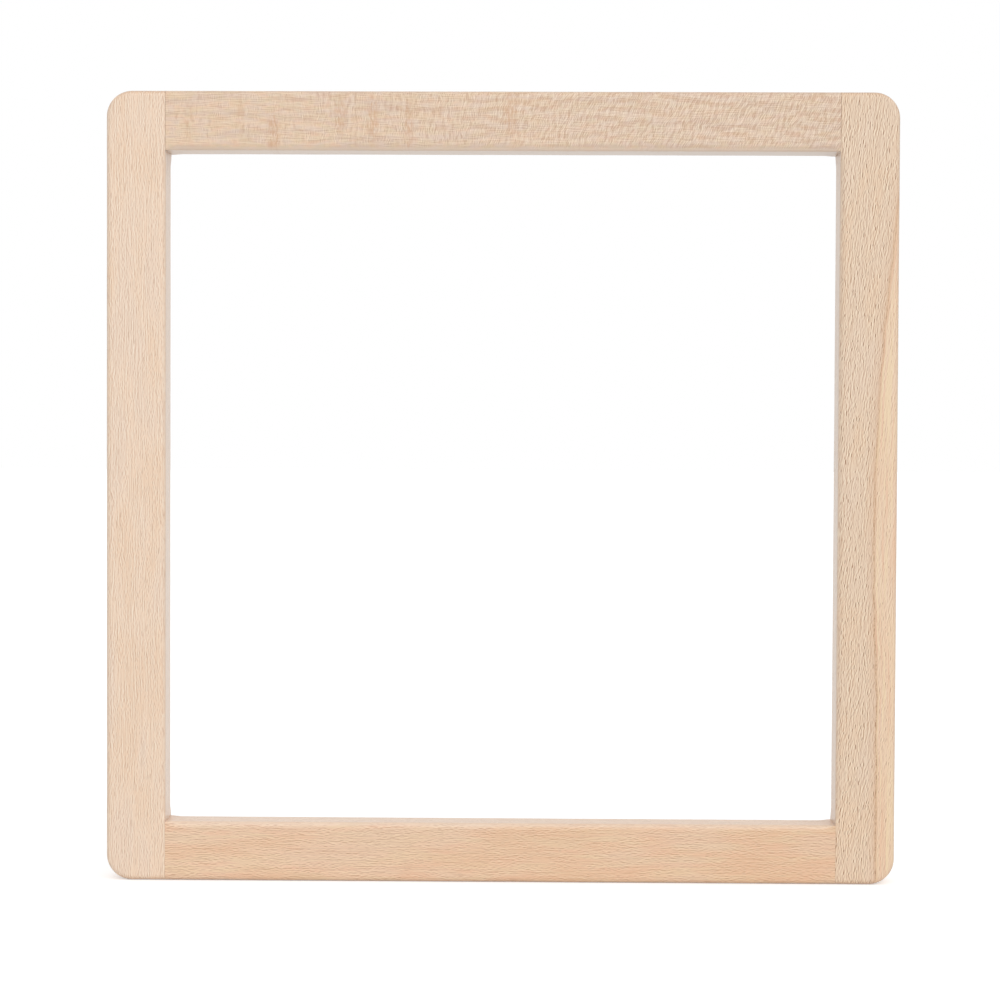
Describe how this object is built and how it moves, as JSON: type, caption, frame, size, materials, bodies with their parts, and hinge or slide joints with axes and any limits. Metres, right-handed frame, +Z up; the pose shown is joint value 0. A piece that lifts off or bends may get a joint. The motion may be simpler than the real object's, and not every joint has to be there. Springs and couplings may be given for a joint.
{
  "type": "square weaving loom",
  "caption": "Square frame loom of upright stiles and cross rails, butt-jointed over hidden dowels, with rounded corners and edges, for a warp wound over the rails.",
  "frame": {"origin": "middle of the bottom edge, half way through the thickness, on the surface that the frame stands on", "axes": "+X to the right along the width, +Y through the thickness towards the back face, so the front face looks along -Y, +Z up along the stiles towards the top rail"},
  "size_m": [0.4, 0.02, 0.4],
  "materials": {
    "left_stile_beech": "flat-sawn beech, planed and sanded, no varnish",
    "right_stile_beech": "flat-sawn beech with strong rays, planed and sanded, no varnish",
    "top_rail_beech": "quarter-sawn beech, planed and sanded, no varnish",
    "bottom_rail_beech": "flat-sawn beech, planed and sanded, no varnish",
    "dowel_beech": "fluted beech dowel, compressed"
  },
  "bodies": {
    "root": {"left_stile": "left_stile_beech", "right_stile": "right_stile_beech", "top_rail": "top_rail_beech", "bottom_rail": "bottom_rail_beech", "dowel_top_left_outer": "dowel_beech", "dowel_top_left_inner": "dowel_beech", "dowel_top_right_outer": "dowel_beech", "dowel_top_right_inner": "dowel_beech", "dowel_bottom_left_outer": "dowel_beech", "dowel_bottom_left_inner": "dowel_beech", "dowel_bottom_right_outer": "dowel_beech", "dowel_bottom_right_inner": "dowel_beech"}
  },
  "joints": []
}
